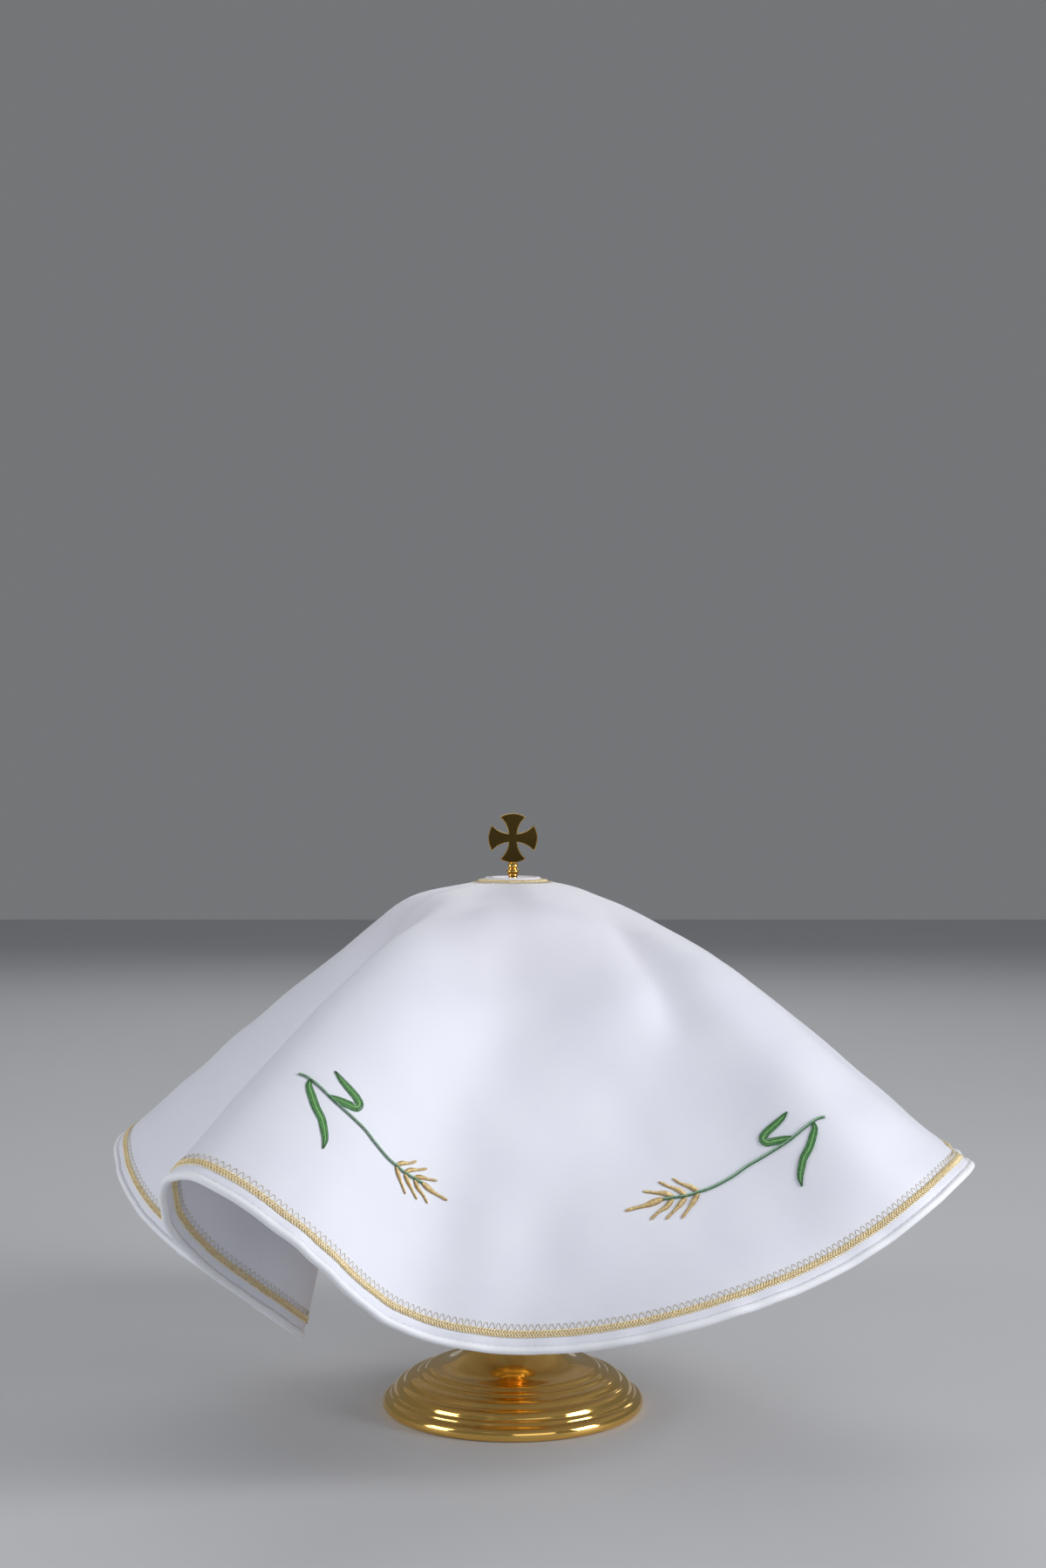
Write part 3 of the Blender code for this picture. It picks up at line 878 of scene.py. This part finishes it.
# A satin-stitched shape: the line down its middle, its greatest width, and its share of that
# width at even steps along the line. All in millimetres, x along the stem, y towards the hem.
Shape = namedtuple("Shape", "line width shares")
LEAF_SHARES = (0.3, 0.75, 0.95, 1.0, 1.0, 1.0, 0.95, 0.9, 0.7, 0.12)
GRAIN_SHARES = (0.45, 0.8, 1.0, 1.0, 0.85, 0.65, 0.5, 0.45, 0.45, 0.5, 0.3)
LEAVES = (
    Shape(((-20, -1.5), (-19.5, 1), (-17, 4), (-14, 7), (-10.5, 9.5), (-8, 12.5), (-6, 15.5),
           (-5, 19)), 2.9, LEAF_SHARES),
    Shape(((-12, 0), (-8.5, -1), (-4.5, -2), (-2, -3), (-1.5, -5), (-4, -6.5), (-7.5, -7.5),
           (-11, -8.5), (-14.5, -10)), 2.9, LEAF_SHARES),
)
GRAINS = (
    Shape(((23.5, 2.5), (25.5, 0), (28, -2), (30, -4.5)), 1.6, GRAIN_SHARES),
    Shape(((28, 2.5), (30, -0.5), (33, -3), (35.5, -5.5)), 1.6, GRAIN_SHARES),
    Shape(((33, 0.5), (35.5, -1.5), (38.5, -3), (42, -5)), 1.6, GRAIN_SHARES),
    Shape(((23.5, 3.5), (26.5, 5), (29.5, 6.5), (33, 8)), 1.7, GRAIN_SHARES),
    Shape(((28.5, 3), (32, 4), (35, 5), (38.5, 6)), 1.7, GRAIN_SHARES),
    Shape(((33.5, 1.5), (36.5, 2.5), (40, 3), (43.5, 4)), 1.7, GRAIN_SHARES),
    Shape(((37, 0), (41, -0.5), (45, -1), (50, -2)), 2.0, GRAIN_SHARES),
)

# The rows of stitches on a leaf: both halves slant away from the vein, a lighter row covers it.
# low and high are shares of the leaf's half width, as are the dark lines along its edges.
LeafRow = namedtuple("LeafRow", "slant lift low high colour")
LEAF_ROWS = (
    LeafRow(0.7, 0.30, -1.0, -0.30, "leaf"),
    LeafRow(-0.7, 0.30, 0.30, 1.0, "leaf"),
    LeafRow(0.5, 0.42, -0.42, 0.42, "light"),
)
LEAF_EDGES = (-0.98, -0.44, 0.44, 0.98)
LEAF_SPACING = 0.26
LEAF_THREAD = 0.30
LEAF_EDGE_THREAD = 0.22
STEM_THREAD = 0.52
STEM_SHADE_THREAD = 0.40
GRAIN_SPACING = 0.24
GRAIN_THREAD = 0.34
GRAIN_PAINTED_SHADE_THREAD = 0.30


def smooth_line(points, count):
    """An open curve through the points, read at an even spacing."""
    points = np.array(points, dtype=float)
    padded = np.vstack([2 * points[0] - points[1], points, 2 * points[-1] - points[-2]])
    fine = []
    for index in range(1, len(padded) - 2):
        part = np.linspace(0, 1, 24, endpoint=False)[:, None]
        tight = (padded[index + 1] - padded[index - 1]) / 2
        loose = (padded[index + 2] - padded[index]) / 2
        fine.append(curve_between(part, padded[index], tight, padded[index + 1], loose))
    fine = np.vstack([*fine, points[-1:]])
    along = np.concatenate([[0], np.cumsum(np.linalg.norm(np.diff(fine, axis=0), axis=1))])
    even = np.linspace(0, along[-1], count)
    line = np.column_stack([np.interp(even, along, fine[:, 0]), np.interp(even, along, fine[:, 1])])
    return line, along[-1]


def place_sprig(points, placing):
    """Points of a sprig, x along it and y towards the hem, on the flat cloth."""
    turned, tilt = math.radians(placing.angle), math.radians(placing.tilt)
    outward = np.array([math.cos(turned), math.sin(turned)])
    along = np.array([-outward[1], outward[0]]) * (-1 if placing.mirrored else 1)
    x = points[:, :1] * math.cos(tilt) + points[:, 1:2] * math.sin(tilt)
    y = points[:, 1:2] * math.cos(tilt) - points[:, :1] * math.sin(tilt)
    rows = x * placing.size * along + (y * placing.size + placing.reach) * outward
    return np.column_stack([rows, points[:, 2]])


def width_shares(shape, count):
    """A shape's share of its greatest width, at even steps along its line."""
    return np.interp(np.linspace(0, 1, count), np.linspace(0, 1, len(shape.shares)), shape.shares)


def beside_line(shape, count, offset):
    """A line beside a shape's middle line, offset by a share of its half width."""
    line = smooth_line(shape.line, count)[0]
    ahead = unit(np.gradient(line, axis=0))
    beside = np.column_stack([-ahead[:, 1], ahead[:, 0]])
    share = width_shares(shape, count)
    return line, ahead, beside, line + beside * (offset * share * shape.width / 2)[:, None]


def satin_stitches(shape, spacing, slant, lift, low, high, draw, placing):
    """Threads side by side across a shape, from share low to share high of its half width."""
    length = smooth_line(shape.line, 2)[1]
    count = max(int(length / spacing), 4)
    line, ahead, beside, _ = beside_line(shape, count, 0)
    share = width_shares(shape, count)
    rows = []
    for stitch in range(count):
        half = share[stitch] * shape.width / 2
        steps = np.linspace(low, high, 6)
        steps[0] += draw.uniform(-0.06, 0.06)
        steps[-1] += draw.uniform(-0.06, 0.06)
        points = line[stitch] + (steps * half)[:, None] * (beside[stitch] + slant * ahead[stitch])
        middle, reach = (low + high) / 2, (high - low) / 2
        crown = np.clip(1 - ((steps - middle) / reach) ** 2, 0, 1) ** 0.5
        height = 0.02 + lift * crown * (0.4 + 0.6 * share[stitch]) + draw.uniform(-0.03, 0.03)
        rows.append(place_sprig(np.column_stack([points, height]), placing))
    return rows


def line_stitches(line, stitch_length, height, placing):
    """A line of short backstitches: each thread dips at its ends."""
    length = np.concatenate([[0], np.cumsum(np.linalg.norm(np.diff(line, axis=0), axis=1))])
    count = max(int(length[-1] / stitch_length), 1)
    rows = []
    for stitch in range(count):
        along = (stitch + np.array([-0.04, 0.2, 0.5, 0.8, 1.04])) * length[-1] / count
        x = np.interp(along, length, line[:, 0])
        y = np.interp(along, length, line[:, 1])
        dip = np.array([-0.16, -0.02, 0, -0.02, -0.16])
        rows.append(place_sprig(np.column_stack([x, y, height + dip]), placing))
    return rows


greens = {
    "leaf": thread_finish("green thread", (0.17, 0.47, 0.15), (0.05, 0.24, 0.06), 0.0, 0.36),
    "dark": thread_finish("dark green thread", (0.035, 0.16, 0.05), (0.01, 0.07, 0.02), 0.0, 0.42),
    "light": thread_finish("light green thread", (0.30, 0.60, 0.22), (0.14, 0.40, 0.11), 0.0, 0.34),
    "stem": thread_finish("pale green thread", (0.36, 0.58, 0.38), (0.16, 0.36, 0.19), 0.0, 0.40),
}
grain_thread = thread_finish("grain thread", (0.98, 0.79, 0.42), (0.48, 0.31, 0.11), 0.35, 0.32)
# Dark brown thread for one side of each grain: painted shade.
grain_painted_shade = thread_finish("grain painted shade thread", (0.42, 0.25, 0.08), (0.20, 0.11, 0.03), 0.2, 0.45)


def sew_colour(rows, thickness, finish, placing):
    """Sew all stitches of one colour. A larger sprig is sewn with thicker thread."""
    threads = sew("threads", rows, thickness * placing.size)
    threads.data.materials.append(finish)
    return threads


sprigs = []
for placing in PLACINGS:
    draw = np.random.default_rng(11 if placing.mirrored else 7)
    stem_line = smooth_line(STEM, 160)[0]
    ahead = unit(np.gradient(stem_line, axis=0))
    beside = np.column_stack([-ahead[:, 1], ahead[:, 0]])
    lit = line_stitches(stem_line - beside * 0.20, 2.0, 0.62, placing)
    # The dark green line along the stem's side towards the hem is painted shade.
    shade = line_stitches(stem_line + beside * 0.28, 1.8, 0.50, placing)
    parts = [
        sew_colour(lit, STEM_THREAD, greens["stem"], placing),
        sew_colour(shade, STEM_SHADE_THREAD, greens["dark"], placing),
    ]
    for drawn in LEAVES:
        points = np.array(drawn.line, dtype=float)
        points = points[0] + (points - points[0]) * placing.leaf_share
        leaf = Shape(points, drawn.width * placing.leaf_share, drawn.shares)
        for row in LEAF_ROWS:
            rows = satin_stitches(leaf, LEAF_SPACING, row.slant, row.lift, row.low, row.high, draw,
                                  placing)
            parts.append(sew_colour(rows, LEAF_THREAD, greens[row.colour], placing))
        for offset in LEAF_EDGES:
            rows = line_stitches(beside_line(leaf, 120, offset)[3], 1.6, 0.42, placing)
            parts.append(sew_colour(rows, LEAF_EDGE_THREAD, greens["dark"], placing))
    green = drape(join("sprig_" + placing.word + "_green", parts))
    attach(green, "root")
    grains = []
    edges = []
    for grain in GRAINS:
        grains += satin_stitches(grain, GRAIN_SPACING, 0.9, 0.62, -1.0, 1.0, draw, placing)
        # A dark line along each grain's side towards the hem: painted shade.
        edges += line_stitches(beside_line(grain, 60, 0.95)[3], 1.2, 0.34, placing)
    gold = drape(join("sprig_" + placing.word + "_gold", [
        sew_colour(grains, GRAIN_THREAD, grain_thread, placing),
        sew_colour(edges, GRAIN_PAINTED_SHADE_THREAD, grain_painted_shade, placing),
    ]))
    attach(gold, "root")
    sprigs += [green, gold]


# The table, the light and the camera: a plain pale table, large soft lights at both sides and a
# softer one over the camera, and the photograph's level view from in front.

FLOOR_SIZE = 6.0
CAMERA_PLACE = (0.0039, -0.84, 0.2392)
LENS_MM = 50
SENSOR_MM = 36

bpy.ops.object.select_all(action="DESELECT")
bpy.ops.mesh.primitive_plane_add(size=FLOOR_SIZE)
floor = bpy.context.object
floor.name = "table_top"
table_top, shader, nodes = new_finish("pale table", Roughness=0.6)
place = nodes.node("TexCoord", output=3)
cloudy = nodes.node("TexNoise", sockets={"Vector": place, "Scale": 4, "Detail": 4})
nodes.feed(shader["Base Color"], nodes.node(
    "Mix", {"data_type": "RGBA"},
    {"Factor": cloudy, "A": (0.56, 0.57, 0.59, 1), "B": (0.60, 0.61, 0.63, 1)}, 2))
floor.data.materials.append(table_top)

SoftLight = namedtuple("SoftLight", "name place aim width height watts colour")
SOFT_LIGHTS = (
    SoftLight("right softbox", (1.33, -0.55, 0.70), (0, 0, 0.12), 0.6, 1.0, 19, (0.98, 0.985, 1.0)),
    SoftLight("left softbox", (-1.35, -0.55, 0.62), (0, 0, 0.12), 0.6, 1.0, 9.4, (0.97, 0.98, 1.0)),
    SoftLight("front fill", (0.6, -1.75, 0.60), (0, 0, 0.12), 1.2, 0.8, 2.8, (0.98, 0.985, 1.0)),
    SoftLight("back light", (0.0, 1.6, 1.2), (0, 0, 0.15), 1.4, 0.8, 7, (1.0, 1.0, 1.0)),
)
for soft_light in SOFT_LIGHTS:
    lamp = bpy.data.lights.new(soft_light.name, "AREA")
    lamp.shape = "RECTANGLE"
    lamp.size = soft_light.width
    lamp.size_y = soft_light.height
    lamp.energy = soft_light.watts
    lamp.color = soft_light.colour
    holder = bpy.data.objects.new(soft_light.name, lamp)
    bpy.context.collection.objects.link(holder)
    holder.location = soft_light.place
    aim = Vector(soft_light.aim) - Vector(soft_light.place)
    holder.rotation_euler = aim.to_track_quat("-Z", "Y").to_euler()

world = bpy.data.worlds.new("studio air")
world.use_nodes = True
world.node_tree.nodes["Background"].inputs["Color"].default_value = (0.62, 0.64, 0.67, 1)
world.node_tree.nodes["Background"].inputs["Strength"].default_value = 0.28
bpy.context.scene.world = world

lens = bpy.data.cameras.new("photograph")
lens.lens = LENS_MM
lens.sensor_width = SENSOR_MM
camera = bpy.data.objects.new("photograph", lens)
bpy.context.collection.objects.link(camera)
camera.location = CAMERA_PLACE
camera.rotation_euler = (math.pi / 2, 0, 0)
bpy.context.scene.camera = camera
bpy.context.scene.view_settings.view_transform = "Standard"

bpy.context.view_layer.update()
